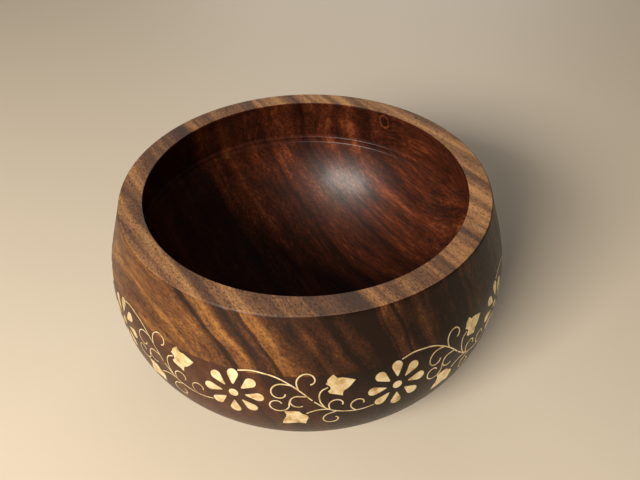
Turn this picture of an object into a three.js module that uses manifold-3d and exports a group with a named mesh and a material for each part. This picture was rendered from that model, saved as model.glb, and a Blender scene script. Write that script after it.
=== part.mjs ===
// A turned hardwood bowl with a flowering vine of brass inlaid around its belly.
// Millimetres, +Z up. The origin is the middle of the foot, on the surface the bowl stands on.
// Each inlay is drawn flat, as (u, v) millimetres around and up the wall from a flower's centre,
// given its thickness inwards, and then laid on the wall. The same drawing, grown by a
// clearance, cuts the recess that it sits in.
import * as THREE from "three";
import { mergeVertices } from "three/addons/utils/BufferGeometryUtils.js";
import Module from "manifold-3d";

const wasm = await Module();
wasm.setup();

// --- The turned bowl ---
const BOWL_HEIGHT = 100;
const RIM_RADIUS = 90; // outer edge of the rim
const RIM_WIDTH = 11.4; // the rim's flat top, from edge to edge
const RIM_EASE = 0.7; // how much the rim's two sharp edges are eased
const RIM_FLARE = 0.31; // how fast the wall leans outwards just under the rim
const BELLY_RADIUS = 100.6;
const BELLY_DEPTH = 44.5; // the widest ring, below the rim
const FOOT_RADIUS = 52; // the flat that the bowl stands on
const FLOOR_THICKNESS = 13; // wood under the middle of the hollow
const LINES_DEPTH = 26; // the upper of the two turned lines inside, below the rim
const LINES_SPACING = 2.4; // from the upper line to the lower one
const WALL_AT_LINES = 12.3; // wood outside the upper line
const BEAD_LEDGE = 2.5; // how far the bead between the lines steps inwards
const LINE_CUT = 0.4; // how deep each line is cut
const ROUND_STEPS = 54; // sides around the bowl, a whole number for each repeat of the vine
const SHOULDER_STEPS = 4; // straight pieces of each curve of the profile
const UNDERSIDE_STEPS = 7;
const HOLLOW_STEPS = 8;
const UNDERCUT_STEPS = 2;

// Fullness of the curves: how far each end's handle reaches along the height or width it spans.
const SHOULDER_FULLNESS = { rim: 0.53, belly: 0.37 };
const UNDERSIDE_FULLNESS = { belly: 0.41, foot: 0.8, footRise: 0.2 };
const HOLLOW_FULLNESS = { wall: 0.4, wallLean: 0.05, floor: 0.62 };
const UNDERCUT_FULLNESS = { depth: 0.35, reach: 0.62 };

// --- The inlay ---
const REPEATS = 9;
const FIRST_FLOWER_DEG = -19; // azimuth of the first flower, from -Y towards +X
const BAND_CENTRE = 40.8; // flower centres, measured down the wall from the rim's edge
const INLAY_THICKNESS = 1.2;
const CLEARANCE = 0.3; // gap between an inlay and its recess, and between two inlays
const CUT_ABOVE = 1; // how far a recess cutter stands out of the wood
const DRAWN_PITCH = 70; // the spacing of the flowers that the vine is drawn for
const DRAWN_SPAN = 43.4; // the space between two flowers that the vine is drawn in
const MITRE_LIMIT = 0.4; // keeps a grown outline's sharp corners from running far out

const PETALS = 8;
const FLOWER_RADIUS = 13.3; // to the petals' round ends
const PETAL_START = 5; // to the petals' pointed ends
const PETAL_WIDTH = 4.9;
const PETAL_END_SWEEP_DEG = 105; // half of the round end's arc
const PETAL_END_STEPS = 3;
const CENTRE_RADIUS = 2.15;
const CENTRE_SIDES = 6;
const WEB_RADIUS = 6; // a thin ring that joins the petals at the bottom of their recess
const WEB_WIDTH = 1.3;
const WEB_THICKNESS = 0.4;

const WIRE_WIDTH = 0.75;
const STEM_START = { angleDeg: 80, clear: 0.1 }; // around the flower, and out from its petals
const STEM_END = { angleDeg: 221, clear: 0.4 };
const STEM_STEPS = 5; // straight pieces of a stem, and of a leaf's stalk
const STALK_STEPS = 3;

const HALVINGS = 30; // when a point of the profile is searched for
const MERGE_DISTANCE = 1e-4;

const WOOD = { color: 0x5a2e1c, roughness: 0.4, metalness: 0 };
const BRASS = { color: 0xd8b878, roughness: 0.35, metalness: 1 };

// Worked-out values.
const bellyPitch = (2 * Math.PI * BELLY_RADIUS) / REPEATS;
const motifScale = bellyPitch / DRAWN_PITCH; // the vine is drawn to go round in whole repeats
const vineScale = (DRAWN_PITCH - 2 * FLOWER_RADIUS) / DRAWN_SPAN; // the vine fills what petals leave

const radians = THREE.MathUtils.degToRad;
const point = (x, y) => new THREE.Vector2(x, y);
const polar = (centre, radius, angle) =>
  point(centre.x + radius * Math.cos(angle), centre.y + radius * Math.sin(angle));

// The outside of the wall from the rim's edge to the foot, as (radius, height).
const shoulder = new THREE.CubicBezierCurve(
  point(RIM_RADIUS, BOWL_HEIGHT),
  point(
    RIM_RADIUS + RIM_FLARE * SHOULDER_FULLNESS.rim * BELLY_DEPTH,
    BOWL_HEIGHT - SHOULDER_FULLNESS.rim * BELLY_DEPTH,
  ),
  point(BELLY_RADIUS, BOWL_HEIGHT - (1 - SHOULDER_FULLNESS.belly) * BELLY_DEPTH),
  point(BELLY_RADIUS, BOWL_HEIGHT - BELLY_DEPTH),
);
const bellyHeight = BOWL_HEIGHT - BELLY_DEPTH;
const underside = new THREE.CubicBezierCurve(
  point(BELLY_RADIUS, bellyHeight),
  point(BELLY_RADIUS, (1 - UNDERSIDE_FULLNESS.belly) * bellyHeight),
  point(
    FOOT_RADIUS + UNDERSIDE_FULLNESS.foot * (BELLY_RADIUS - FOOT_RADIUS),
    UNDERSIDE_FULLNESS.footRise * bellyHeight,
  ),
  point(FOOT_RADIUS, 0),
);
const wall = new THREE.CurvePath();
wall.add(shoulder);
wall.add(underside);
const wallLength = wall.getLength();

// The outer radius at a height on the shoulder, found by halving the curve's parameter.
function shoulderRadius(height) {
  let low = 0;
  let high = 1;
  for (let i = 0; i < HALVINGS; i += 1) {
    const middle = (low + high) / 2;
    if (shoulder.getPoint(middle).y > height) low = middle;
    else high = middle;
  }
  return shoulder.getPoint(low).x;
}

// The closed profile, from the middle of the foot up the outside, over the rim and down the hollow.
function bowlProfile() {
  const floor = point(0, FLOOR_THICKNESS);
  const lineHeight = BOWL_HEIGHT - LINES_DEPTH;
  const upperLine = point(shoulderRadius(lineHeight) - WALL_AT_LINES, lineHeight);
  const lowerLine = point(upperLine.x - BEAD_LEDGE, upperLine.y - LINES_SPACING);
  const rimInner = point(RIM_RADIUS - RIM_WIDTH, BOWL_HEIGHT);
  const hollowDepth = lowerLine.y - FLOOR_THICKNESS;
  const hollow = new THREE.CubicBezierCurve(
    floor,
    point(HOLLOW_FULLNESS.floor * lowerLine.x, FLOOR_THICKNESS),
    point(
      (1 - HOLLOW_FULLNESS.wallLean) * lowerLine.x,
      lowerLine.y - HOLLOW_FULLNESS.wall * hollowDepth,
    ),
    lowerLine,
  );
  const undercut = new THREE.QuadraticBezierCurve(
    upperLine,
    point(
      rimInner.x + UNDERCUT_FULLNESS.reach * (upperLine.x - rimInner.x),
      BOWL_HEIGHT - UNDERCUT_FULLNESS.depth * LINES_DEPTH,
    ),
    point(rimInner.x, rimInner.y - RIM_EASE),
  );
  return [
    ...hollow.getPoints(HOLLOW_STEPS),
    point(lowerLine.x + LINE_CUT, lowerLine.y + LINE_CUT),
    point(upperLine.x - LINE_CUT, upperLine.y - LINE_CUT),
    point(upperLine.x + LINE_CUT, upperLine.y),
    ...undercut.getPoints(UNDERCUT_STEPS),
    point(rimInner.x + RIM_EASE, rimInner.y),
    point(RIM_RADIUS - RIM_EASE, BOWL_HEIGHT),
    shoulder.getPointAt(RIM_EASE / shoulder.getLength()),
    ...shoulder.getPoints(SHOULDER_STEPS).slice(1),
    ...underside.getPoints(UNDERSIDE_STEPS).slice(1),
    point(0, 0),
  ].reverse();
}

function solidFrom(geometry) {
  const bare = geometry.index ? geometry.toNonIndexed() : geometry.clone();
  bare.deleteAttribute("normal");
  bare.deleteAttribute("uv");
  const merged = mergeVertices(bare, MERGE_DISTANCE);
  return new wasm.Manifold(
    new wasm.Mesh({
      numProp: 3,
      vertProperties: new Float32Array(merged.attributes.position.array),
      triVerts: new Uint32Array(merged.index.array),
    }),
  );
}

function geometryFrom(solid) {
  const mesh = solid.getMesh();
  const geometry = new THREE.BufferGeometry();
  geometry.setAttribute("position", new THREE.BufferAttribute(mesh.vertProperties, 3));
  geometry.setIndex(new THREE.BufferAttribute(mesh.triVerts, 1));
  return geometry;
}

// --- Flat drawings: an outline is a list of points, counter-clockwise ---

// Moves every side of an outline outwards by `distance`, with mitred corners.
function grow(outline, distance) {
  return outline.map((corner, i) => {
    const before = outline.at(i - 1);
    const after = outline[(i + 1) % outline.length];
    const sideIn = corner.clone().sub(before).normalize();
    const sideOut = after.clone().sub(corner).normalize();
    const mitre = point(sideIn.y + sideOut.y, -sideIn.x - sideOut.x).normalize();
    const reach = distance / Math.max(MITRE_LIMIT, mitre.x * sideIn.y - mitre.y * sideIn.x);
    return corner.clone().addScaledVector(mitre, reach);
  });
}

// The outline of a wire of even width with square ends, along a centre line.
function wireOutline(line) {
  const left = [];
  const right = [];
  line.forEach((at, i) => {
    const along = line[Math.min(i + 1, line.length - 1)].clone().sub(line[Math.max(i - 1, 0)]);
    const side = point(-along.y, along.x).setLength(WIRE_WIDTH / 2);
    left.push(at.clone().add(side));
    right.push(at.clone().sub(side));
  });
  return [...right, ...left.reverse()];
}

// A petal: two straight sides from a point to a round end, turned about the flower's centre.
function petalOutline(angle) {
  const endRadius = PETAL_WIDTH / 2;
  const end = point(FLOWER_RADIUS - endRadius, 0);
  const sweep = radians(PETAL_END_SWEEP_DEG);
  const outline = [point(PETAL_START, 0)];
  for (let i = 0; i <= PETAL_END_STEPS; i += 1) {
    outline.push(polar(end, endRadius, -sweep + (2 * sweep * i) / PETAL_END_STEPS));
  }
  return outline.map((corner) => corner.rotateAround(point(0, 0), angle));
}

function discOutline(radius, sides) {
  return Array.from({ length: sides }, (_, i) =>
    polar(point(0, 0), radius, (2 * Math.PI * i) / sides),
  );
}

// A vine point: x from the first flower's outer edge, y up from the line of flower centres.
const vinePoint = (x, y) => point(FLOWER_RADIUS + x * vineScale, y * vineScale);
const vinePoints = (pairs) => pairs.map(([x, y]) => vinePoint(x, y));

function smoothLine(points, steps) {
  return new THREE.SplineCurve(points).getPoints(steps);
}

const flowerCentre = point(0, 0);
const nextFlower = point(DRAWN_PITCH, 0);

// The stem that leaves the top petal, as far as the joint in the middle of the repeat.
const firstStem = smoothLine(
  [
    polar(flowerCentre, FLOWER_RADIUS + STEM_START.clear, radians(STEM_START.angleDeg)),
    ...vinePoints([[-5.4, 14.3], [-0.3, 13.8], [4.8, 12.6], [9.9, 9.8], [14.9, 5.7], [20, -0.1]]),
  ],
  STEM_STEPS,
);

// The stem from the joint to the next flower, and the stalks of the two leaves.
const secondStem = smoothLine(
  [
    ...vinePoints([
      [20.7, -0.9], [23.6, -3.9], [27.1, -6.8], [30.2, -8.3], [35.3, -9.7], [40.3, -10.1],
    ]),
    polar(nextFlower, FLOWER_RADIUS + STEM_END.clear, radians(STEM_END.angleDeg)),
  ],
  STEM_STEPS,
);
const upperStalk = smoothLine(
  vinePoints([[25.1, -5.2], [23.1, -0.3], [23.6, 5.1], [25.9, 7.2]]),
  STALK_STEPS,
);
const lowerStalk = smoothLine(
  vinePoints([[27.1, -6.8], [24.1, -6.4], [20.5, -7.2], [17.3, -9]]),
  STALK_STEPS,
);

// Ivy-like leaves with pointed lobes, each cut from sheet.
const upperLeaf = vinePoints([
  [28.9, 13.5], [26.4, 11.1], [25.6, 9.1], [27.6, 7], [26.5, 5.1], [27.1, 3.8], [32.6, 1.6],
  [33, 4.4], [36.8, 7.8], [38.1, 9.5], [32.7, 11.6], [30.6, 11.6],
]);
const lowerLeaf = vinePoints([
  [8.1, -7.5], [8.8, -11.3], [6.8, -18.1], [11.3, -17.5], [13.9, -16.8], [16.9, -17.8],
  [18.2, -12.6], [18, -11.1], [15.6, -9.3], [14.4, -7.5],
]);

// --- From flat drawings to solids on the wall ---

// A flat slab of an outline, from `bottom` to `top` along the outward normal, at the drawn size.
function slab(outline, bottom, top, hole) {
  const shape = new THREE.Shape(outline);
  if (hole) shape.holes.push(new THREE.Path(hole));
  const geometry = new THREE.ExtrudeGeometry(shape, { depth: top - bottom, bevelEnabled: false });
  geometry.translate(0, 0, bottom);
  return solidFrom(geometry);
}

const join = (solids) => solids.reduce((all, one) => all.add(one));

// Each inlay's flat solid, or its recess cutter when `gap` is the clearance around it.
function inlaySlab(outline, gap) {
  const top = gap > 0 ? CUT_ABOVE : 0;
  return slab(gap > 0 ? grow(outline, gap) : outline, -INLAY_THICKNESS - gap, top);
}

// The petals of one flower, joined at the bottom of their recess by a thin ring.
function petalsSlab(gap) {
  const petals = Array.from({ length: PETALS }, (_, i) =>
    inlaySlab(petalOutline((2 * Math.PI * i) / PETALS), gap),
  );
  const web = slab(
    discOutline(WEB_RADIUS + WEB_WIDTH / 2 + gap, PETALS),
    -INLAY_THICKNESS - gap,
    gap > 0 ? CUT_ABOVE : WEB_THICKNESS - INLAY_THICKNESS,
    discOutline(WEB_RADIUS - WEB_WIDTH / 2 - gap, PETALS),
  );
  return join([...petals, web]);
}

const wiresSlab = (lines, gap) => join(lines.map((line) => inlaySlab(wireOutline(line), gap)));

// The inlays of one repeat: how each is drawn, and the point whose normal it is pushed in along.
const inlays = {
  flower_petals: { draw: petalsSlab, seat: flowerCentre },
  flower_centre: {
    draw: (gap) => inlaySlab(discOutline(CENTRE_RADIUS, CENTRE_SIDES), gap),
    seat: flowerCentre,
  },
  first_stem: { draw: (gap) => wiresSlab([firstStem], gap), seat: vinePoint(8, 10) },
  second_stem: {
    draw: (gap) => wiresSlab([secondStem, upperStalk, lowerStalk], gap),
    seat: vinePoint(32, -6),
  },
  upper_leaf: { draw: (gap) => inlaySlab(upperLeaf, gap), seat: vinePoint(31, 7) },
  lower_leaf: { draw: (gap) => inlaySlab(lowerLeaf, gap), seat: vinePoint(13, -12) },
};

// The wall's surface at a drawn point, turned by `turn` about the bowl's axis, and its normal.
function onWall(u, v, turn) {
  const azimuth = turn + (u * motifScale) / BELLY_RADIUS;
  const along = (BAND_CENTRE - v * motifScale) / wallLength;
  const at = wall.getPointAt(along);
  const down = wall.getTangentAt(along);
  const around = (radius, height) =>
    new THREE.Vector3(radius * Math.sin(azimuth), -radius * Math.cos(azimuth), height);
  return { surface: around(at.x, at.y), normal: around(-down.y, down.x) };
}

// Lays a flat solid on the wall. Its thickness runs along the normal at `seat`, so that its sides
// stay flat and parallel, and it pushes straight into its recess.
function lay(solid, seat, turn) {
  const inwards = onWall(seat.x, seat.y, turn).normal;
  const geometry = geometryFrom(solid);
  const position = geometry.attributes.position;
  for (let i = 0; i < position.count; i += 1) {
    const { surface } = onWall(position.getX(i), position.getY(i), turn);
    surface.addScaledVector(inwards, position.getZ(i));
    position.setXYZ(i, surface.x, surface.y, surface.z);
  }
  return solidFrom(geometry);
}

const object = new THREE.Group();

function addPiece(name, solid, finish) {
  const mesh = new THREE.Mesh(geometryFrom(solid), new THREE.MeshStandardMaterial(finish));
  mesh.name = name;
  object.add(mesh);
}

const turned = new THREE.LatheGeometry(bowlProfile(), ROUND_STEPS).rotateX(Math.PI / 2);
const cutters = [];
for (let repeat = 0; repeat < REPEATS; repeat += 1) {
  const turn = radians(FIRST_FLOWER_DEG) + (2 * Math.PI * repeat) / REPEATS;
  for (const [name, { draw, seat }] of Object.entries(inlays)) {
    cutters.push(lay(draw(CLEARANCE), seat, turn));
    addPiece(`${name}_${repeat + 1}`, lay(draw(0), seat, turn), BRASS);
  }
}
addPiece("bowl", solidFrom(turned).subtract(join(cutters)), WOOD);

export default object;
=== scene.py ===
"""An inlaid wooden bowl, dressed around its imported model.

The bowl is turned from one block of sheesham, an Indian rosewood, lacquered except on the flat
top of its rim. A flowering vine of sheet and strip brass is let in flush around its belly, with
dark filler in the gap around each piece. Lengths in the classes are millimetres, as on a maker's
drawing; they become metres where a mesh is made.
"""

import logging
import math
from dataclasses import dataclass, field
from enum import Enum

import bpy
from bpy.types import Material, Node, NodeSocket, NodeTree, Object
from mathutils import Matrix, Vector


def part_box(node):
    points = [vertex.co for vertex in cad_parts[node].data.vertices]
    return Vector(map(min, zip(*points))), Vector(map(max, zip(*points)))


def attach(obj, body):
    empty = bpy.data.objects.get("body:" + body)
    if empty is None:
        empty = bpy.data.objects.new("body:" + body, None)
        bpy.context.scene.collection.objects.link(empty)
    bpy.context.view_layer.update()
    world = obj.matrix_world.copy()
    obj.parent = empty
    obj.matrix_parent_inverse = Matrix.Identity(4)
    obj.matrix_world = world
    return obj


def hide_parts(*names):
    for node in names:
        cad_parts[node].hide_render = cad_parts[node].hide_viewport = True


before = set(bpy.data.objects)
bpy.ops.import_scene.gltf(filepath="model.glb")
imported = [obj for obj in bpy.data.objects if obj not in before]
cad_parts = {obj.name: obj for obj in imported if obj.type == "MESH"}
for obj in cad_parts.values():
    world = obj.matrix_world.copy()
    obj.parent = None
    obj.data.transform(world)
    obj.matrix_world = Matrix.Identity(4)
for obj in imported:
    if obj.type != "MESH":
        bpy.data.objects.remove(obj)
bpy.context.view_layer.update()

MM = 0.001  # metres in a millimetre
BODY = "root"
LOG = logging.getLogger("bowl")

Point = tuple[float, float]
Lines = list[list[Point]]
Triple = tuple[float, float, float]


# --- Helpers -----------------------------------------------------------------------------------


def linear(code: str) -> tuple[float, float, float, float]:
    """Turns an sRGB hex colour into Blender's linear colour.

    Args:
        code: The colour as "#rrggbb".

    Returns:
        Red, green, blue and an alpha of one.
    """
    channels = [int(code[i : i + 2], 16) / 255 for i in (1, 3, 5)]
    lit = [c / 12.92 if c <= 0.04045 else ((c + 0.055) / 1.055) ** 2.4 for c in channels]
    return (lit[0], lit[1], lit[2], 1.0)


def add_node(tree: NodeTree, kind: str, inputs: dict | None = None,
             stops: list | None = None, **settings) -> Node:
    """Adds a node with its settings, its input values and its links.

    Args:
        tree: The node tree it goes into.
        kind: The node's Blender type, after the words ShaderNode.
        inputs: For each input's name or index, a value, the output socket it is linked to, or a
            node, which stands for its first output.
        stops: A colour ramp's stops, as (position, colour) pairs.
        **settings: The node's own properties.

    Returns:
        The new node.
    """
    node = tree.nodes.new(f"ShaderNode{kind}")
    for name, value in settings.items():
        setattr(node, name, value)
    for key, value in (inputs or {}).items():
        if isinstance(value, Node):
            value = value.outputs[0]
        if isinstance(value, NodeSocket):
            tree.links.new(value, node.inputs[key])
        else:
            node.inputs[key].default_value = value
    if stops:
        ramp = node.color_ramp
        while len(ramp.elements) < len(stops):
            ramp.elements.new(0.5)
        for element, (position, colour) in zip(ramp.elements, stops):
            element.position = position
            element.color = colour
    return node


def new_material(name: str) -> tuple[Material, NodeSocket]:
    """Starts a node material.

    Args:
        name: Its name.

    Returns:
        The material, with nothing in it but its coordinates, and the socket of those.
    """
    made = bpy.data.materials.new(name)
    made.use_nodes = True
    made.node_tree.nodes.clear()
    place = add_node(made.node_tree, "TexCoord")
    return made, place.outputs["Object"]


def deselect() -> None:
    """Leaves object mode with nothing selected."""
    if bpy.context.object and bpy.context.object.mode != "OBJECT":
        bpy.ops.object.mode_set(mode="OBJECT")
    bpy.ops.object.select_all(action="DESELECT")


def pick(piece: Object) -> None:
    """Makes one object the only selected and the active one.

    Args:
        piece: The object.
    """
    deselect()
    piece.select_set(True)
    bpy.context.view_layer.objects.active = piece


def apply_modifier(piece: Object, kind: str, **settings) -> None:
    """Adds a modifier to a piece and applies it.

    Args:
        piece: The object that is shaped.
        kind: The modifier's Blender type.
        **settings: The modifier's properties.
    """
    pick(piece)
    modifier = piece.modifiers.new(kind.title(), kind)
    for name, value in settings.items():
        setattr(modifier, name, value)
    bpy.ops.object.modifier_apply(modifier=modifier.name)


# --- Finishes ----------------------------------------------------------------------------------


@dataclass(frozen=True)
class WoodFinish:
    """Sheesham, cut so that its grain runs across the bowl from the back left to the front right.

    Its growth layers are uneven bands of near-black, red-brown and orange-brown. They stand
    nearly upright, so the wall shows long flowing streaks on the left, where it is cut along
    them, and mottling at the front, where it is cut across. The pattern is one solid block, so
    it runs on from the wall over the rim.
    """

    name: str
    tones: tuple[str, str, str, str]
    roughness: float
    specular: float
    coat: float
    pore_colour: str
    pore_strength: float
    grain_relief: float
    side_tones_and_shade: Triple  # tone added at the left, middle and right; on the lacquered finishes this is partly painted light and shade
    layers: float  # how much each pattern counts
    blotches: float
    streaks: float
    flecks: float
    line_depth: float
    pore_length: float = 3.0

    GRAIN_TURN_DEG = -57.0  # from +X to the direction the grain runs, seen from above
    LAYER_TILT_DEG = -14.0
    LAYER_MM = 11.0
    LINE_MM = 4.5  # fine dark lines between layers
    STREAK_MM = 1.1
    STREAK_LENGTH_MM = 14.0
    BLOTCH_MM = 7.0
    BLOTCH_LENGTH_MM = 30.0
    PORE_MM = 0.5  # real pores are nearer 0.2 mm; drawn coarser so that they show
    FIGURE_MM = 55.0  # how far apart the layers' slow bends are
    FIGURE_DEPTH_MM = 16.0
    WAVER_MM = 14.0
    WAVER_DEPTH_MM = 5.0
    KNOT_RADIUS_MM = 3.0
    KNOT_RISE = 0.45  # how much a distance up or down the knot counts
    KNOT_RINGS = ((0.0, 0.25), (0.32, 0.3), (0.46, 0.75), (0.6, 0.38), (1.0, 0.5))
    LINE_EDGE = (0.60, 0.68)  # noise values between which a dark line fades in
    PORE_EDGE = (0.40, 0.30)
    LEFT_ZONE_M = (-0.08, 0.0)  # where the left tone fades into the middle one
    RIGHT_ZONE_M = (0.0, 0.06)
    TONE_STOPS = (0.10, 0.38, 0.62, 0.95)
    GLOSS_SPAN = 0.05  # how much streaks shift the roughness, so that a highlight breaks up
    PORE_RELIEF_M = 0.0002
    LACQUER_ROUGHNESS = 0.2
    LACQUER_IOR = 1.45

    def material(self) -> Material:
        """Builds the finish as a node material that reads Object coordinates.

        Returns:
            The material.
        """
        made, place = new_material(self.name)
        tree = made.node_tree
        turned = add_node(
            tree, "Mapping", {
                "Vector": place,
                "Rotation": (0.0, 0.0, math.radians(-self.GRAIN_TURN_DEG)),
            })
        block = add_node(
            tree, "Mapping", {
                "Vector": turned,
                "Rotation": (math.radians(self.LAYER_TILT_DEG), 0.0, 0.0),
            })
        figured = self.bend(tree, block.outputs["Vector"], self.FIGURE_MM, self.FIGURE_DEPTH_MM, 3.0)
        grown_block = self.bend(tree, figured, self.WAVER_MM, self.WAVER_DEPTH_MM, 4.0)
        across = add_node(tree, "SeparateXYZ", {"Vector": grown_block})
        layers = add_node(
            tree, "TexNoise", {
                "W": across.outputs["Y"], "Scale": 1 / (self.LAYER_MM * MM), "Detail": 2.0,
                "Roughness": 0.5,
            }, noise_dimensions="1D")
        lines = add_node(
            tree, "TexNoise", {
                "W": across.outputs["Y"], "Scale": 1 / (self.LINE_MM * MM), "Detail": 1.0,
            }, noise_dimensions="1D")
        line_depth = add_node(
            tree, "MapRange", {
                "Value": lines, "From Min": self.LINE_EDGE[0],
                "From Max": self.LINE_EDGE[1], "To Min": 0.0, "To Max": -self.line_depth,
            })
        streaks = self.fibres(tree, grown_block, self.STREAK_MM, self.STREAK_LENGTH_MM, 3.0)
        blotches = self.fibres(tree, grown_block, self.BLOTCH_MM, self.BLOTCH_LENGTH_MM, 3.0)
        pores = self.fibres(tree, grown_block, self.PORE_MM, self.pore_length, 1.0)
        # The side tones are partly painted light and shade: on the wall and band they are lighter on
        # the left, where the key light falls, and darker on the shaded middle and right; on the hollow
        # they are a painted shadow of the rim on its left.
        left, middle, right = self.side_tones_and_shade
        fades = [
            add_node(
                tree, "MapRange", {
                    "Value": across.outputs["Y"], "From Min": start, "From Max": end,
                    "To Min": low, "To Max": high,
                }, interpolation_type="SMOOTHSTEP").outputs["Result"]
            for (start, end), low, high in (
                (self.LEFT_ZONE_M, left, middle), (self.RIGHT_ZONE_M, 0.0, right - middle))
        ]
        slow_tone_and_shade = add_node(tree, "Math", {0: fades[0], 1: fades[1]})
        lined = add_node(tree, "Math", {0: slow_tone_and_shade, 1: line_depth})
        blotched = add_node(
            tree, "Math", {0: blotches, 1: self.blotches, 2: lined}, operation="MULTIPLY_ADD")
        knotted = self.knot(tree, place, blotched.outputs["Value"])
        return self.surface(made, layers, streaks, pores, knotted)

    def knot(self, tree: NodeTree, place: NodeSocket, tone: NodeSocket) -> NodeSocket:
        """Adds the small knot's dark eye and pale ring to the wood's tone.

        Args:
            tree: The material's tree.
            place: Object coordinates.
            tone: The tone without the knot.

        Returns:
            The tone with the knot.
        """
        away = add_node(
            tree, "VectorMath", {0: place, 1: [v * MM for v in KNOT_MM]},
            operation="SUBTRACT")
        drawn = add_node(
            tree, "VectorMath", {0: away, 1: (1, 1, self.KNOT_RISE)},
            operation="MULTIPLY")
        distance = add_node(tree, "VectorMath", {0: drawn}, operation="LENGTH")
        share = add_node(
            tree, "MapRange", {
                "Value": distance.outputs["Value"], "From Max": 2 * self.KNOT_RADIUS_MM * MM,
            })
        rings = add_node(
            tree, "ValToRGB", {"Fac": share},
            stops=[(at, (tone_at, tone_at, tone_at, 1)) for at, tone_at in self.KNOT_RINGS])
        lifted = add_node(tree, "Math", {0: rings, 1: -0.5})
        added = add_node(tree, "Math", {0: lifted, 1: tone})
        return added.outputs["Value"]

    @staticmethod
    def bend(tree: NodeTree, vector: NodeSocket, size_mm: float,
             depth_mm: float, stretch: float) -> NodeSocket:
        """Bends the block across its grain with slow noise.

        Args:
            tree: The material's tree.
            vector: Block coordinates, with X along the grain.
            size_mm: The bends' size.
            depth_mm: How far they move the layers.
            stretch: How many times longer they are along the grain.

        Returns:
            The bent block coordinates.
        """
        drawn = add_node(tree, "Mapping", {"Vector": vector, "Scale": (1 / stretch, 1.0, 0.7)})
        noise = add_node(
            tree, "TexNoise", {"Vector": drawn, "Scale": 1 / (size_mm * MM), "Detail": 2.0})
        centred = add_node(
            tree, "VectorMath", {0: noise.outputs["Color"], 1: (0.5, 0.5, 0.5)},
            operation="SUBTRACT")
        bent = add_node(
            tree, "VectorMath", {
                0: centred, 1: (0.0, depth_mm * MM, depth_mm * MM), 2: vector,
            }, operation="MULTIPLY_ADD")
        return bent.outputs["Vector"]

    @staticmethod
    def fibres(tree: NodeTree, vector: NodeSocket, width_mm: float,
               length_mm: float, detail: float) -> Node:
        """Adds noise drawn out along the grain.

        Args:
            tree: The material's tree.
            vector: Block coordinates, with X along the grain.
            width_mm: The size of its features across the grain.
            length_mm: Their size along it.
            detail: The noise's detail.

        Returns:
            The noise node.
        """
        drawn = add_node(tree, "Mapping", {"Vector": vector, "Scale": (width_mm / length_mm, 1.0, 0.6)})
        return add_node(
            tree, "TexNoise", {
                "Vector": drawn, "Scale": 1 / (width_mm * MM),
                "Detail": detail, "Roughness": 0.55,
            })

    def surface(self, made: Material, layers: Node, streaks: Node,
                pores: Node, slow_tone_and_shade: NodeSocket) -> Material:
        """Mixes the patterns into colour, gloss and relief.

        Args:
            made: The material being built.
            layers: The noise of the growth layers.
            streaks: The noise of the fine streaks.
            pores: The noise of the pores.
            slow_tone_and_shade: The tone of the slow patterns, with the side tones' painted light and
                shade.

        Returns:
            The material.
        """
        tree = made.node_tree
        fine = add_node(tree, "Math", {0: streaks, 1: self.streaks, 2: slow_tone_and_shade}, operation="MULTIPLY_ADD")
        tone = add_node(tree, "Math", {0: layers, 1: self.layers, 2: fine}, operation="MULTIPLY_ADD")
        flecked = add_node(tree, "Math", {0: pores, 1: self.flecks, 2: tone}, operation="MULTIPLY_ADD")
        middle = 0.5 * (self.layers + self.blotches + self.streaks + self.flecks)
        centred = add_node(tree, "Math", {0: flecked, 1: 0.5 - middle})
        colour = add_node(
            tree, "ValToRGB", {"Fac": centred},
            stops=[(at, linear(tone_code)) for at, tone_code in zip(self.TONE_STOPS, self.tones)])
        pore_mask = add_node(
            tree, "MapRange", {
                "Value": pores, "From Min": self.PORE_EDGE[0],
                "From Max": self.PORE_EDGE[1], "To Min": 0.0, "To Max": self.pore_strength,
            })
        pored = add_node(
            tree, "Mix", {0: pore_mask, 6: colour, 7: linear(self.pore_colour)}, data_type="RGBA")
        gloss = add_node(
            tree, "MapRange", {
                "Value": streaks, "From Min": 0.3, "From Max": 0.7,
                "To Min": self.roughness + self.GLOSS_SPAN,
                "To Max": self.roughness - self.GLOSS_SPAN,
            })
        relief = add_node(
            tree, "Bump", {
                "Height": pores, "Strength": self.grain_relief,
                "Distance": self.PORE_RELIEF_M,
            })
        shader = add_node(
            tree, "BsdfPrincipled", {
                "Base Color": pored.outputs[2], "Roughness": gloss,
                "Normal": relief, "IOR": self.LACQUER_IOR,
                "Specular IOR Level": self.specular, "Coat Weight": self.coat,
                "Coat Roughness": self.LACQUER_ROUGHNESS,
            })
        add_node(tree, "OutputMaterial", {"Surface": shader})
        return made


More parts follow.
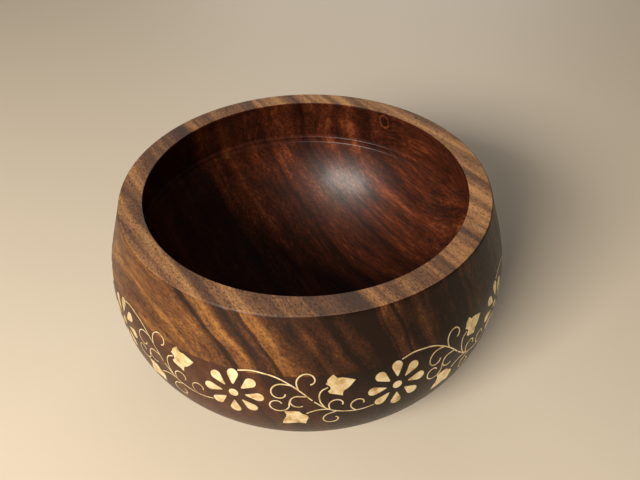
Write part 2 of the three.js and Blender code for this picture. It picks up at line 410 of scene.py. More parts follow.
@dataclass(frozen=True)
class BrassFinish:
    """Sheet brass sanded flush with the wood.

    It gives the eye flat pale gold, softly bright rather than mirror-like, with a brownish smudge
    here and there.
    """

    name: str = "sanded_brass"
    bright: str = "#fff1ce"
    dull: str = "#e8cf9a"
    smudge: str = "#a8906a"
    roughness: float = 0.48
    SCRATCH_MM = 0.35  # real ones are under 0.1 mm; drawn coarser so that they show
    PATCH_MM = 4.0

    def material(self) -> Material:
        """Builds the finish as a node material that reads Object coordinates.

        Returns:
            The material.
        """
        made, place = new_material(self.name)
        tree = made.node_tree
        drawn = add_node(
            tree, "Mapping", {"Vector": place, "Rotation": (0.0, 0.6, 0.0), "Scale": (0.06, 0.06, 1.0)})
        scratches = add_node(
            tree, "TexNoise", {"Vector": drawn, "Scale": 1 / (self.SCRATCH_MM * MM), "Detail": 3.0})
        patches = add_node(
            tree, "TexNoise", {"Vector": place, "Scale": 1 / (self.PATCH_MM * MM), "Detail": 3.0})
        colour = add_node(
            tree, "ValToRGB", {"Fac": patches}, stops=[
                (0.24, linear(self.smudge)), (0.4, linear(self.dull)), (0.6, linear(self.bright)),
            ])
        gloss = add_node(
            tree, "MapRange", {
                "Value": scratches, "From Min": 0.3, "From Max": 0.7,
                "To Min": self.roughness - 0.08, "To Max": self.roughness + 0.12,
            })
        relief = add_node(tree, "Bump", {"Height": scratches, "Strength": 0.35, "Distance": 0.0001})
        shader = add_node(
            tree, "BsdfPrincipled", {
                "Base Color": colour, "Metallic": 1.0,
                "Roughness": gloss, "Normal": relief,
            })
        add_node(tree, "OutputMaterial", {"Surface": shader})
        return made


@dataclass(frozen=True)
class FillerFinish:
    """Black-brown lac filler, rubbed into the gap around the brass, which it outlines darkly."""

    name: str = "lac_filler"
    colour: str = "#140b07"
    worn: str = "#2b190f"
    GRAIN_MM = 0.8

    def material(self) -> Material:
        """Builds the finish as a node material that reads Object coordinates.

        Returns:
            The material.
        """
        made, place = new_material(self.name)
        tree = made.node_tree
        grain = add_node(
            tree, "TexNoise", {"Vector": place, "Scale": 1 / (self.GRAIN_MM * MM), "Detail": 2.0})
        colour = add_node(
            tree, "ValToRGB", {"Fac": grain}, stops=[
                (0.35, linear(self.colour)), (0.7, linear(self.worn)),
            ])
        shader = add_node(tree, "BsdfPrincipled", {"Base Color": colour, "Roughness": 0.5})
        add_node(tree, "OutputMaterial", {"Surface": shader})
        return made


KNOT_MM = (46.3, 66.7, 93.0)  # a small knot in the wall, just under the rim at the back right

# Its side tones mix the wood's own tone with painted light and shade: lighter on the front left, where
# the key light falls, and darker on the shaded middle and right.
LACQUERED_WALL = WoodFinish(
    "lacquered_sheesham", tones=("#180a03", "#3a1e0d", "#5f3a1a", "#946430"),
    roughness=0.42, specular=0.22, coat=0.05, pore_colour="#1a0904", pore_strength=0.45,
    grain_relief=0.25, side_tones_and_shade=(0.16, -0.36, -0.28),
    layers=1.7, blotches=0.7, streaks=0.45, flecks=0.45, line_depth=0.26)
# The stain is real; its side tones add painted light and shade, lighter on the front left where the key
# light falls and darker on the shaded middle and right.
STAINED_BAND = WoodFinish(
    "stained_sheesham_band", tones=("#140702", "#29130a", "#40200f", "#654020"),
    roughness=0.40, specular=0.25, coat=0.06, pore_colour="#140703", pore_strength=0.25,
    grain_relief=0.15, side_tones_and_shade=(0.15, -0.4, -0.25),
    layers=1.0, blotches=0.4, streaks=0.35, flecks=0.15, line_depth=0.08)
# Its side tones paint shade: the hollow is darker on its left, where the rim casts its shadow inside.
LACQUERED_HOLLOW = WoodFinish(
    "lacquered_sheesham_hollow", tones=("#150703", "#2f140a", "#502412", "#8a4c28"),
    roughness=0.42, specular=0.3, coat=0.09, pore_colour="#180804", pore_strength=0.35,
    grain_relief=0.2, side_tones_and_shade=(-0.12, 0.0, 0.0),
    layers=0.9, blotches=0.7, streaks=0.75, flecks=0.25, line_depth=0.05)
BARE_RIM = WoodFinish(
    "bare_sheesham_rim", tones=("#4b3a32", "#6b4d3a", "#8f6745", "#ba8b5c"),
    roughness=0.75, specular=0.3, coat=0.0, pore_colour="#3f2a1d", pore_strength=0.75,
    grain_relief=0.6, side_tones_and_shade=(0.08, -0.2, 0.14),
    layers=1.7, blotches=0.6, streaks=0.35, flecks=0.75, line_depth=0.1, pore_length=1.5)


# --- The turned bowl ---------------------------------------------------------------------------


@dataclass(frozen=True)
class Knot:
    """A point of the bowl's profile, as (radius, height), with the handles of its curve."""

    at: Point
    before: Point | None = None
    after: Point | None = None


class WallPart(Enum):
    """The parts of the bowl's surface that have a finish of their own."""

    WALL = 0
    BAND = 1
    HOLLOW = 2
    RIM = 3


@dataclass
class TurnedBowl:
    """The bowl, turned as one piece: foot, belly, rim, undercut, turned lines and hollow."""

    height: float
    belly: float
    rim: float = 90.0
    rim_width: float = 11.4
    rim_ease: float = 0.8
    rim_flare: float = 0.31
    belly_depth: float = 44.5
    foot: float = 52.0
    floor: float = 13.0
    lines_depth: float = 26.0
    lines_spacing: float = 2.4
    wall_at_lines: float = 12.3
    bead_ledge: float = 2.5
    line_cut: float = 0.45
    line_lip: float = 1.1  # the rounded lip under each turned line
    lip_ease: float = 0.5
    band_depth: float = 27.2
    steps: int = 288
    curve_steps: int = 26
    # Where the handles of the profile's curves lie, as shares of the span they belong to.
    foot_reach: float = 0.8
    foot_rise: float = 0.2
    belly_fall: float = 0.59
    belly_rise: float = 0.63
    rim_fall: float = 0.53
    bow_reach: float = 0.62
    bow_depth: float = 0.35
    hollow_lean: float = 0.95
    hollow_fall: float = 0.4
    floor_reach: float = 0.62
    WALL_PER_DEPTH = 1.028  # length on the outer wall for a depth, as far down as the lines
    BOW_SHARE = 2 / 3  # how far both handles reach towards the undercut's one bow point
    WALK_STEPS = 200
    STRAIGHT_DEG = 0.3  # points of the profile that bend less than this are left out
    MERGE_M = 1e-6
    RING_TOLERANCE = 0.05
    EASE_SEGMENTS = 4
    RIM_FROM_TOP = 0.3
    RIM_FACING = 0.8  # how nearly upward the rim's faces look
    FLOOR_FACING = 0.5
    FLOOR_SHARE = 0.6  # faces that look up and lie lower than this share belong to the hollow
    SMOOTH_DEG = 28.0
    finishes: dict = field(default_factory=lambda: {
        WallPart.WALL: LACQUERED_WALL,
        WallPart.BAND: STAINED_BAND,
        WallPart.HOLLOW: LACQUERED_HOLLOW,
        WallPart.RIM: BARE_RIM,
    })

    def outer_knots(self) -> list[Knot]:
        """Draws the wall from the foot's edge, round the belly, to the rim.

        Returns:
            The knots, from low to high.
        """
        belly_height = self.height - self.belly_depth
        return [
            Knot((self.foot, 0.0),
                 after=(self.foot + self.foot_reach * (self.belly - self.foot),
                        self.foot_rise * belly_height)),
            Knot((self.belly, belly_height),
                 before=(self.belly, self.belly_fall * belly_height),
                 after=(self.belly, self.height - self.belly_rise * self.belly_depth)),
            Knot((self.rim, self.height),
                 before=(self.rim + self.rim_flare * self.rim_fall * self.belly_depth,
                         self.height - self.rim_fall * self.belly_depth)),
        ]

    def inner_knots(self) -> list[Knot]:
        """Draws the inside from the rim's inner edge, past the turned lines, to the floor.

        Returns:
            The knots, from the mouth down.
        """
        lines_height = self.height - self.lines_depth
        mouth = self.rim - self.rim_width
        upper = self.wall_point(self.lines_depth * self.WALL_PER_DEPTH)[0] - self.wall_at_lines
        lower = upper - self.bead_ledge
        low_height = lines_height - self.lines_spacing
        bow = (mouth + self.bow_reach * (upper - mouth),
               self.height - self.bow_depth * self.lines_depth)
        share = self.BOW_SHARE
        return [
            Knot((mouth, self.height),
                 after=(mouth + share * (bow[0] - mouth),
                        self.height + share * (bow[1] - self.height))),
            Knot((upper + self.line_cut, lines_height + self.line_cut),
                 before=(upper + share * (bow[0] - upper),
                         lines_height + share * (bow[1] - lines_height))),
            Knot((upper - self.line_lip, lines_height - self.line_cut)),
            Knot((lower + self.line_lip + self.line_cut, low_height + self.line_cut)),
            Knot((lower, low_height - self.line_cut),
                 after=(self.hollow_lean * lower,
                        low_height - self.hollow_fall * (low_height - self.floor))),
            Knot((0.0, self.floor), before=(self.floor_reach * lower, self.floor)),
        ]

    def wall_point(self, along: float) -> Point:
        """Finds the point of the outer wall at a length down from the rim's edge.

        Args:
            along: The length, measured on the wall.

        Returns:
            Its radius and height.
        """
        foot, belly, rim = self.outer_knots()
        left = along
        last = rim.at
        for start, end in ((rim, belly), (belly, foot)):
            corners = (start.at, start.before, end.after, end.at)
            for step in range(1, self.WALK_STEPS + 1):
                t = step / self.WALK_STEPS
                weights = ((1 - t) ** 3, 3 * (1 - t) ** 2 * t, 3 * (1 - t) * t * t, t ** 3)
                here = tuple(sum(w * c[i] for w, c in zip(weights, corners)) for i in (0, 1))
                piece = math.dist(last, here)
                if piece >= left:
                    share = left / piece
                    return (last[0] + share * (here[0] - last[0]),
                            last[1] + share * (here[1] - last[1]))
                left -= piece
                last = here
        return last

    def draw_profile(self) -> Object:
        """Draws the profile as a curve in the XZ plane and makes it a line of edges.

        Returns:
            The profile's object.
        """
        knots = [Knot((0.0, 0.0)), *self.outer_knots(), *self.inner_knots()]
        deselect()
        bpy.ops.curve.primitive_bezier_curve_add()
        profile = bpy.context.object
        curve = profile.data
        curve.dimensions = "3D"
        curve.resolution_u = self.curve_steps
        spline = curve.splines[0]
        spline.bezier_points.add(len(knots) - 2)
        for point, knot in zip(spline.bezier_points, knots):
            point.handle_left_type = "FREE" if knot.before else "VECTOR"
            point.handle_right_type = "FREE" if knot.after else "VECTOR"
            point.co = (knot.at[0] * MM, 0, knot.at[1] * MM)
            if knot.before:
                point.handle_left = (knot.before[0] * MM, 0, knot.before[1] * MM)
            if knot.after:
                point.handle_right = (knot.after[0] * MM, 0, knot.after[1] * MM)
        bpy.ops.object.convert(target="MESH")
        bpy.ops.object.mode_set(mode="EDIT")
        bpy.ops.mesh.select_all(action="SELECT")
        bpy.ops.mesh.dissolve_limited(angle_limit=math.radians(self.STRAIGHT_DEG))
        bpy.ops.object.mode_set(mode="OBJECT")
        return bpy.context.object

    def turn(self) -> Object:
        """Spins the profile round the bowl's axis into a closed solid.

        Returns:
            The bowl's object.
        """
        bowl = self.draw_profile()
        bowl.name = bowl.data.name = "turned_bowl"
        bpy.ops.object.mode_set(mode="EDIT")
        bpy.ops.mesh.select_all(action="SELECT")
        bpy.ops.mesh.spin(steps=self.steps, angle=2 * math.pi, center=(0, 0, 0), axis=(0, 0, 1))
        bpy.ops.mesh.select_all(action="SELECT")
        bpy.ops.mesh.remove_doubles(threshold=self.MERGE_M)
        bpy.ops.mesh.normals_make_consistent(inside=False)
        bpy.ops.object.mode_set(mode="OBJECT")
        return bowl

    def select_ring(self, bowl: Object, radius: float, height: float, within: float) -> None:
        """Selects the edges that run round the bowl near a point of its profile.

        Args:
            bowl: The bowl, in object mode.
            radius: The point's radius.
            height: The point's height.
            within: How far from it a corner may be.
        """
        pick(bowl)
        mesh = bowl.data
        for corner in mesh.vertices:
            place = (math.hypot(corner.co.x, corner.co.y), corner.co.z)
            corner.select = math.dist(place, (radius * MM, height * MM)) < within * MM
        chosen = [v.select for v in mesh.vertices]
        for edge in mesh.edges:
            edge.select = all(chosen[i] for i in edge.vertices)
        for face in mesh.polygons:
            face.select = False
        bpy.ops.object.mode_set(mode="EDIT")
        bpy.ops.mesh.select_mode(type="EDGE")

    def ease_ring(self, bowl: Object, at: Point, ease: float) -> None:
        """Rounds a sharp edge that runs round the bowl.

        Args:
            bowl: The bowl.
            at: The edge's radius and height.
            ease: How much of each side the rounding takes.
        """
        self.select_ring(bowl, *at, self.RING_TOLERANCE)
        bpy.ops.mesh.bevel(offset=ease * MM, segments=self.EASE_SEGMENTS, profile=0.5)
        bpy.ops.object.mode_set(mode="OBJECT")

    def dress(self, bowl: Object) -> None:
        """Gives each part of the surface its finish.

        Args:
            bowl: The bowl.
        """
        bowl.data.materials.clear()
        for part in WallPart:
            bowl.data.materials.append(self.finishes[part].material())
        top = (self.height - self.RIM_FROM_TOP) * MM
        band_top = self.wall_point(self.band_depth)[1] * MM
        for face in bowl.data.polygons:
            outward = face.normal.x * face.center.x + face.normal.y * face.center.y
            if face.center.z > top and face.normal.z > self.RIM_FACING:
                part = WallPart.RIM
            elif outward < 0 or (face.normal.z > self.FLOOR_FACING
                                 and face.center.z < self.FLOOR_SHARE * top):
                part = WallPart.HOLLOW
            elif face.center.z < band_top:
                part = WallPart.BAND
            else:
                part = WallPart.WALL
            face.material_index = part.value
        pick(bowl)
        bpy.ops.object.shade_smooth_by_angle(angle=math.radians(self.SMOOTH_DEG))

    def build(self) -> Object:
        """Makes and dresses the bowl, which stands for its CAD solid.

        Returns:
            The bowl's object.
        """
        bowl = self.turn()
        mouth, _, upper_lip, _, lower_lip, _ = self.inner_knots()
        for edge, ease in (
            ((self.rim, self.height), self.rim_ease), (mouth.at, self.rim_ease),
            (upper_lip.at, self.lip_ease), (lower_lip.at, self.lip_ease),
        ):
            self.ease_ring(bowl, edge, ease)
        self.dress(bowl)
        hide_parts("bowl")
        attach(bowl, BODY)
        LOG.info("%s: %d faces", bowl.name, len(bowl.data.polygons))
        return bowl


# --- The brass vine ----------------------------------------------------------------------------


MITRE_LIMIT = 0.4  # keeps the corners of an outline short where it turns sharply


def grown(outline: list[Point], distance: float) -> list[Point]:
    """Moves every side of a counter-clockwise outline outwards, with mitred corners.

    Args:
        outline: The corners.
        distance: How far the sides move.

    Returns:
        The new corners.
    """
    moved = []
    for i, (x, y) in enumerate(outline):
        x0, y0 = outline[i - 1]
        x1, y1 = outline[(i + 1) % len(outline)]
        into, out = math.atan2(y - y0, x - x0), math.atan2(y1 - y, x1 - x)
        mitre_x, mitre_y = math.sin(into) + math.sin(out), -math.cos(into) - math.cos(out)
        size = math.hypot(mitre_x, mitre_y)
        reach = distance / max(MITRE_LIMIT, size / 2)
        moved.append((x + reach * mitre_x / size, y + reach * mitre_y / size))
    return moved


@dataclass(frozen=True)
class Tendril:
    """A strip that leaves its root on a stem and curls round a centre ever more tightly."""

    root: Point
    centre: Point
    radii: tuple[float, float]
    from_deg: float
    turn_deg: float
    STEP_DEG = 24.0

    def line(self) -> list[Point]:
        """Draws its centre line.

        Returns:
            The line's points, on the vine's drawing.
        """
        steps = round(abs(self.turn_deg) / self.STEP_DEG)
        points = [self.root]
        for i in range(steps + 1):
            radius = self.radii[0] + (self.radii[1] - self.radii[0]) * i / steps
            angle = math.radians(self.from_deg + self.turn_deg * i / steps)
            points.append((self.centre[0] + radius * math.cos(angle),
                           self.centre[1] + radius * math.sin(angle)))
        return points


@dataclass
class BrassVine:
    """The vine of nine repeats: a flower, two stems, two leaves and seven tendrils.

    The brass is let in flush with the wood, so the eye gets thin bright lines and pale shapes on
    the dark wall, each in a fine dark outline of filler.

    It is drawn flat as (u, v): around the belly from a flower's centre, and up the wall.
    """

    bowl: TurnedBowl
    wall: Object
    repeats: int = 9
    first_flower_deg: float = -19.0
    band_centre: float = 40.8
    drawn_pitch: float = 70.0
    petals: int = 8
    flower_radius: float = 13.3
    petal_start: float = 5.0
    petal_width: float = 4.9
    centre_radius: float = 2.15
    strip: float = 0.58
    sheet: float = 0.9
    proud: float = 0.04  # how far the brass stands above the wood
    filler_proud: float = 0.015
    filler_gap: float = 0.28
    stand_off: float = 6.0  # how far in front of the belly the flat pieces are laid out
    grid: float = 1.4  # how finely a flat piece is cut up before it is bent to the wall
    filler_depth: float = 0.3
    # Where pieces touch, each kind stands this much higher than the last, so that none flickers.
    proud_step: float = 0.003
    filler_proud_step: float = 0.002
    PETAL_NOSE = (0.5, 0.42)  # length and half width of a petal's blunt inner end
    PETAL_ARC_DEG = 110  # the round end, to each side of its middle
    PETAL_ARC_STEPS = 10
    CENTRE_SIDES = 24
    STEM_START = (80, 0.1)  # degrees round the flower, and how far off it
    STEM_END = (221, 0.4)
    STRIP_STEPS = 6
    SMOOTH_DEG = 35.0
    # The u at the middle of each piece, where the plane it is laid out on touches the wall.
    FLOWER_SEAT = 0.0
    FIRST_STEM_SEAT = 18.0
    LOWER_LEAF_SEAT = 26.0
    TENDRILS_SEAT = 36.0
    UPPER_LEAF_SEAT = 45.0
    SECOND_STEM_SEAT = 46.0

    def __post_init__(self) -> None:
        """Works out the drawing's scale and its finishes."""
        self.scale = 2 * math.pi * self.bowl.belly / self.repeats / self.drawn_pitch
        self.brass = BrassFinish().material()
        self.filler = FillerFinish().material()

    # The drawing. Vine points are given from the first flower's outer edge.

    def vine(self, x: float, y: float) -> Point:
        """Returns a vine point measured from the flower's centre."""
        return (self.flower_radius + x, y)

    def petal(self, angle: float) -> list[Point]:
        """Draws a teardrop petal, turned about the flower's centre.

        Args:
            angle: How far it is turned, in radians.

        Returns:
            Its outline.
        """
        end = self.petal_width / 2
        middle = self.flower_radius - end
        nose, half_nose = self.PETAL_NOSE
        corners = [(self.petal_start, 0.0), (self.petal_start + nose, -half_nose)]
        for i in range(self.PETAL_ARC_STEPS + 1):
            turn = math.radians(self.PETAL_ARC_DEG * (2 * i / self.PETAL_ARC_STEPS - 1))
            corners.append((middle + end * math.cos(turn), end * math.sin(turn)))
        corners.append((self.petal_start + nose, half_nose))
        cos, sin = math.cos(angle), math.sin(angle)
        return [(x * cos - y * sin, x * sin + y * cos) for x, y in corners]

    def flower_petals(self) -> Lines:
        """Returns the outlines of one flower's petals."""
        return [self.petal(2 * math.pi * i / self.petals) for i in range(self.petals)]

    def flower_centre(self) -> Lines:
        """Returns the outline of the disc in a flower's middle."""
        turns = (2 * math.pi * i / self.CENTRE_SIDES for i in range(self.CENTRE_SIDES))
        return [[(self.centre_radius * math.cos(t), self.centre_radius * math.sin(t)) for t in turns]]

    def upper_leaf(self) -> Lines:
        """Returns the outline of the leaf above the vine."""
        return [[self.vine(x, y) for x, y in (
            (28.9, 13.5), (27.5, 12.4), (26.4, 11.1), (26.3, 9.9), (25.6, 9.1), (27.3, 7.7),
            (27.7, 6.2), (26.5, 5.1), (27.1, 3.8), (30.2, 2.7), (32.6, 1.6), (32.7, 3.2),
            (33.0, 4.4), (34.7, 5.5), (36.0, 6.8), (36.8, 7.8), (38.1, 9.5), (35.3, 10.7),
            (32.7, 11.6), (30.6, 11.6),
        )]]

    def lower_leaf(self) -> Lines:
        """Returns the outline of the leaf below the vine."""
        return [[self.vine(x, y) for x, y in (
            (8.1, -7.5), (8.9, -10.1), (8.8, -11.3), (7.5, -14.8), (6.8, -18.1), (9.2, -18.0),
            (11.3, -17.5), (13.9, -16.8), (16.9, -17.8), (17.4, -15.1), (18.2, -12.6),
            (18.0, -11.1), (16.9, -9.9), (15.6, -9.3), (14.4, -7.5), (11.8, -7.2),
        )]]

    def first_stem(self) -> Lines:
        """Draws the stem from a flower's top petal to the joint.

        Returns:
            Its line.
        """
        start = math.radians(self.STEM_START[0])
        leave = self.flower_radius + self.STEM_START[1]
        return [[
            (leave * math.cos(start), leave * math.sin(start)),
            *(self.vine(x, y) for x, y in (
                (-5.4, 14.3), (-0.3, 13.8), (4.8, 12.6), (9.9, 9.8), (14.9, 5.7), (20.0, -0.1),
            )),
        ]]

    def second_stem(self) -> Lines:
        """Draws the stem to the next flower and the leaves' stalks.

        Returns:
            Their lines.
        """
        end = math.radians(self.STEM_END[0])
        reach = self.flower_radius + self.STEM_END[1]
        stem = [
            *(self.vine(x, y) for x, y in (
                (20.7, -0.9), (23.6, -3.9), (27.1, -6.8), (30.2, -8.3), (35.3, -9.7),
                (40.3, -10.1),
            )),
            (self.drawn_pitch + reach * math.cos(end), reach * math.sin(end)),
        ]
        upper = [self.vine(x, y) for x, y in ((25.1, -5.2), (23.1, -0.3), (23.6, 5.1), (26.5, 7.2))]
        lower = [self.vine(x, y) for x, y in ((27.1, -6.8), (24.1, -6.4), (20.5, -7.2), (17.3, -9.0))]
        return [stem, upper, lower]

    def tendrils(self) -> Lines:
        """Returns the lines of the strips that curl off the stems."""
        curls = (
            Tendril((11.4, 8.7), (7.0, 4.1), (5.1, 2.0), 81, 265),
            Tendril((14.4, 6.2), (18.6, 10.7), (5.2, 1.7), -160, -265),
            Tendril((18.0, 2.3), (14.2, -1.0), (3.6, 3.2), 78, 226),
            Tendril((10.7, -0.3), (5.5, -3.3), (5.0, 2.0), 12, -344),
            Tendril((30.2, -8.4), (28.5, -14.2), (4.8, 1.9), 98, 311),
            Tendril((27.3, -6.9), (30.2, -3.6), (3.5, 2.4), -165, -213),
            Tendril((38.3, -10.0), (39.8, -5.3), (4.1, 1.8), -136, -234),
        )
        return [[self.vine(x, y) for x, y in curl.line()] for curl in curls]

    # From the drawing to the wall.

    def on_front(self, u: float, v: float, seat: float) -> Point:
        """Places a drawn point on the plane in front of the wall that a piece is laid out on.

        Args:
            u: Drawn millimetres around the belly.
            v: Drawn millimetres up the wall.
            seat: The u of the piece's middle, where the plane touches the wall.

        Returns:
            Its x and z on that plane, in metres, straight in front of its place on the wall.
        """
        radius, height = self.bowl.wall_point(self.band_centre - v * self.scale)
        turn = (u - seat) * self.scale / self.bowl.belly
        return (radius * math.sin(turn) * MM, height * MM)

    def flat_curve(self, lines: Lines, seat: float, closed: bool) -> Object:
        """Draws lines or outlines as one flat curve on the plane in front of the wall.

        Args:
            lines: The points of each line, as (u, v).
            seat: The u where the plane touches the wall.
            closed: True for outlines, with straight sides; False for smooth open lines.

        Returns:
            The curve's object, still lying down.
        """
        deselect()
        bpy.ops.curve.primitive_bezier_curve_add()
        drawn = bpy.context.object
        curve = drawn.data
        curve.dimensions = "2D"
        curve.splines.clear()
        for line in lines:
            spline = curve.splines.new("BEZIER")
            spline.bezier_points.add(len(line) - 1)
            spline.use_cyclic_u = closed
            for point, (u, v) in zip(spline.bezier_points, line):
                x, z = self.on_front(u, v, seat)
                point.handle_left_type = point.handle_right_type = "VECTOR" if closed else "AUTO"
                point.co = (x, z, 0)
        curve.resolution_u = 1 if closed else self.STRIP_STEPS
        return drawn

    def stand_up(self, flat: Object) -> None:
        """Turns a flat piece upright to face out of the wall, and applies its place.

        Args:
            flat: The piece, lying down.
        """
        pick(flat)
        flat.rotation_euler.x = math.pi / 2
        flat.location.y = -(self.bowl.belly + self.stand_off) * MM
        bpy.ops.object.transform_apply(location=True, rotation=True, scale=True)

    def cut_up(self, flat: Object) -> None:
        """Bisects a flat piece into a grid, so that it can follow the wall.

        Args:
            flat: The piece, upright in front of the wall.
        """
        pick(flat)
        xs = [corner.co.x for corner in flat.data.vertices]
        zs = [corner.co.z for corner in flat.data.vertices]
        bpy.ops.object.mode_set(mode="EDIT")
        for low, high, normal in ((min(xs), max(xs), (1, 0, 0)), (min(zs), max(zs), (0, 0, 1))):
            count = math.ceil((high - low) / (self.grid * MM))
            for i in range(1, count):
                at = low + (high - low) * i / count
                bpy.ops.mesh.select_all(action="SELECT")
                bpy.ops.mesh.bisect(plane_co=(at * normal[0], 0, at * normal[2]), plane_no=normal)
        bpy.ops.object.mode_set(mode="OBJECT")

    def sheet_piece(self, outlines: Lines, seat: float) -> Object:
        """Saws flat pieces out of sheet: outlines are filled and cut up for bending.

        Args:
            outlines: Their outlines, as (u, v).
            seat: The u where their plane touches the wall.

        Returns:
            The flat pieces as one object.
        """
        flat = self.flat_curve(outlines, seat, closed=True)
        flat.data.fill_mode = "BOTH"
        pick(flat)
        bpy.ops.object.convert(target="MESH")
        self.stand_up(flat)
        self.cut_up(flat)
        return flat

    def strip_piece(self, lines: Lines, seat: float, width: float) -> Object:
        """Bends strip on edge along lines: each line is given the strip's width.

        Args:
            lines: The lines, as (u, v).
            seat: The u where their plane touches the wall.
            width: The strip's width.

        Returns:
            The flat strips as one object.
        """
        deselect()
        bpy.ops.curve.primitive_bezier_curve_add()
        section = bpy.context.object
        section.data.dimensions = "2D"
        section.data.resolution_u = 1
        for point, side in zip(section.data.splines[0].bezier_points, (-1, 1)):
            point.handle_left_type = point.handle_right_type = "VECTOR"
            point.co = (side * width / 2 * MM, 0, 0)
        flat = self.flat_curve(lines, seat, closed=False)
        flat.data.bevel_mode = "OBJECT"
        flat.data.bevel_object = section
        pick(flat)
        bpy.ops.object.convert(target="MESH")
        self.stand_up(flat)
        pick(section)
        bpy.ops.object.delete()
        return flat

    def press_in(self, flat: Object, name: str, turn: float, proud: float, thickness: float) -> Object:
        """Copies a flat piece, turns it to its place and presses it onto the wall.

        Args:
            flat: The flat piece in front of the wall.
            name: The new piece's name.
            turn: The azimuth it is turned to, in radians.
            proud: How far it stands above the wood.
            thickness: How far it reaches into the wood.

        Returns:
            The new piece.
        """
        pick(flat)
        bpy.ops.object.duplicate(linked=False)
        piece = bpy.context.object
        piece.name = piece.data.name = name
        piece.rotation_euler.z = turn
        apply_modifier(
            piece, "SHRINKWRAP", target=self.wall, wrap_method="PROJECT", wrap_mode="ABOVE_SURFACE",
            use_project_y=True, use_positive_direction=True, use_negative_direction=False,
            project_limit=3 * self.stand_off * MM, offset=proud * MM)
        apply_modifier(piece, "SOLIDIFY", thickness=thickness * MM, offset=-1.0)
        pick(piece)
        bpy.ops.object.transform_apply(location=True, rotation=True, scale=True)
        bpy.ops.object.shade_smooth_by_angle(angle=math.radians(self.SMOOTH_DEG))
        return piece

    def finish_piece(self, piece: Object, material: Material, node: str | None) -> None:
        """Dresses a piece, hangs it on the body it rides on, and hides the CAD node it stands for.

        Args:
            piece: The piece.
            material: Its finish.
            node: The CAD node it stands for, if there is one.
        """
        piece.data.materials.clear()
        piece.data.materials.append(material)
        if node:
            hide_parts(node)
        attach(piece, BODY)
        LOG.info("%s: %d faces", piece.name, len(piece.data.polygons))

    def build(self) -> None:
        """Makes each inlay once, flat, and presses a copy of it into the wall at each repeat."""
        sheets = (
            ("flower_petals", self.flower_petals(), self.FLOWER_SEAT),
            ("flower_centre", self.flower_centre(), self.FLOWER_SEAT),
            ("upper_leaf", self.upper_leaf(), self.UPPER_LEAF_SEAT),
            ("lower_leaf", self.lower_leaf(), self.LOWER_LEAF_SEAT),
        )
        strips = (
            ("first_stem", self.first_stem(), self.FIRST_STEM_SEAT),
            ("second_stem", self.second_stem(), self.SECOND_STEM_SEAT),
            ("tendrils", self.tendrils(), self.TENDRILS_SEAT),
        )
        grow = self.filler_gap
        drawn = []
        for name, outlines, seat in sheets:
            rim = [grown(outline, grow) for outline in outlines]
            drawn.append((name, seat, self.sheet_piece(outlines, seat), self.sheet_piece(rim, seat)))
        for name, lines, seat in strips:
            drawn.append((name, seat, self.strip_piece(lines, seat, self.strip),
                          self.strip_piece(lines, seat, self.strip + 2 * grow)))
        for repeat in range(self.repeats):
            start = math.radians(self.first_flower_deg + 360 * repeat / self.repeats)
            fillers = []
            for level, (name, seat, flat, flat_filler) in enumerate(drawn):
                turn = start + seat * self.scale / self.bowl.belly
                full = f"{name}_{repeat + 1}"
                proud = self.proud + self.proud_step * level
                filler_proud = self.filler_proud + self.filler_proud_step * level
                piece = self.press_in(flat, full, turn, proud, self.sheet)
                self.finish_piece(piece, self.brass, None if name == "tendrils" else full)
                fillers.append(self.press_in(
                    flat_filler, f"filler_{full}", turn, filler_proud, self.filler_depth))
            deselect()
            for filler in fillers:
                filler.select_set(True)
            bpy.context.view_layer.objects.active = fillers[0]
            bpy.ops.object.join()
            joined = bpy.context.object
            joined.name = joined.data.name = f"filler_{repeat + 1}"
            self.finish_piece(joined, self.filler, None)
        deselect()
        for _, _, flat, flat_filler in drawn:
            flat.select_set(True)
            flat_filler.select_set(True)
        bpy.ops.object.delete()


# --- The studio --------------------------------------------------------------------------------


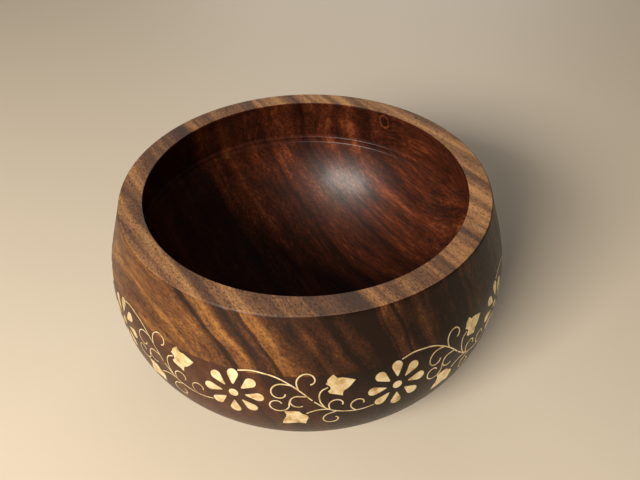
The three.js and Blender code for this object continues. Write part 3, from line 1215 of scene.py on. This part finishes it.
@dataclass
class Studio:
    """A pale floor, soft lights and the camera."""

    bowl_height: float
    camera_from: Triple = (0.0, -0.2558, 0.2803)
    camera_lens: float = 35.66
    camera_right: Triple = (0.99938, -0.03398, -0.00954)
    camera_up: Triple = (0.02933, 0.64924, 0.76002)
    camera_ahead: Triple = (0.01963, 0.75982, -0.64983)
    floor_size: float = 8.0  # metres
    floor_colour: str = "#dbd0bd"
    floor_roughness: float = 0.6
    room_colour: str = "#f0dfc8"
    room_strength: float = 0.09

    def floor(self) -> None:
        """Lays a wide pale floor under the bowl."""
        deselect()
        bpy.ops.mesh.primitive_plane_add(size=self.floor_size)
        ground = bpy.context.object
        ground.name = "studio_floor"
        made = bpy.data.materials.new("pale_floor")
        made.use_nodes = True
        shader = made.node_tree.nodes["Principled BSDF"]
        shader.inputs["Base Color"].default_value = linear(self.floor_colour)
        shader.inputs["Roughness"].default_value = self.floor_roughness
        ground.data.materials.append(made)

    def soft_light(self, name: str, at: Triple, size: tuple[float, float],
                   power: float, colour: str) -> None:
        """Hangs a soft light that faces the bowl.

        Args:
            name: The light's name.
            at: Where it hangs, in metres.
            size: Its width and height, in metres.
            power: Its power, in watts.
            colour: Its colour.
        """
        deselect()
        bpy.ops.object.light_add(type="AREA", location=at)
        lamp = bpy.context.object
        lamp.name = name
        lamp.data.shape = "RECTANGLE"
        lamp.data.size, lamp.data.size_y = size
        lamp.data.energy = power
        lamp.data.color = linear(colour)[:3]
        aim = lamp.location.copy()
        aim.z -= self.bowl_height * MM / 2
        lamp.rotation_euler = aim.to_track_quat("Z", "Y").to_euler()

    def lights(self) -> None:
        """Lights the bowl softly from the front left and the back, with a weak fill all round."""
        self.soft_light("key_light", (-0.53, -0.76, 0.62), (0.55, 0.3), 19.0, "#fff5e8")
        self.soft_light("back_light", (0.2, 1.5, 0.55), (1.0, 0.6), 7.0, "#f6f0ea")
        world = bpy.data.worlds.new("soft_room")
        bpy.context.scene.world = world
        world.use_nodes = True
        sky = world.node_tree.nodes["Background"]
        sky.inputs["Color"].default_value = linear(self.room_colour)
        sky.inputs["Strength"].default_value = self.room_strength

    def camera(self) -> None:
        """Sets the camera close to the bowl, above its front, looking down into it."""
        deselect()
        bpy.ops.object.camera_add(location=self.camera_from)
        view = bpy.context.object
        view.name = "camera"
        view.data.lens = self.camera_lens
        view.data.sensor_width = 36.0
        view.data.clip_start = 0.01
        right, up, ahead = self.camera_right, self.camera_up, self.camera_ahead
        view.rotation_euler = Matrix((
            (right[0], up[0], -ahead[0]),
            (right[1], up[1], -ahead[1]),
            (right[2], up[2], -ahead[2]),
        )).to_euler()
        scene = bpy.context.scene
        scene.camera = view
        scene.view_settings.view_transform = "Standard"


def main() -> None:
    """Builds the studio, the bowl and its vine, in that order."""
    logging.basicConfig(level=logging.INFO, format="%(name)s %(message)s")
    _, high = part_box("bowl")
    studio = Studio(bowl_height=high[2] / MM)
    studio.camera()
    studio.floor()
    studio.lights()
    bowl = TurnedBowl(height=high[2] / MM, belly=high[1] / MM)
    wall = bowl.build()
    BrassVine(bowl, wall).build()


if __name__ == "__main__":
    main()
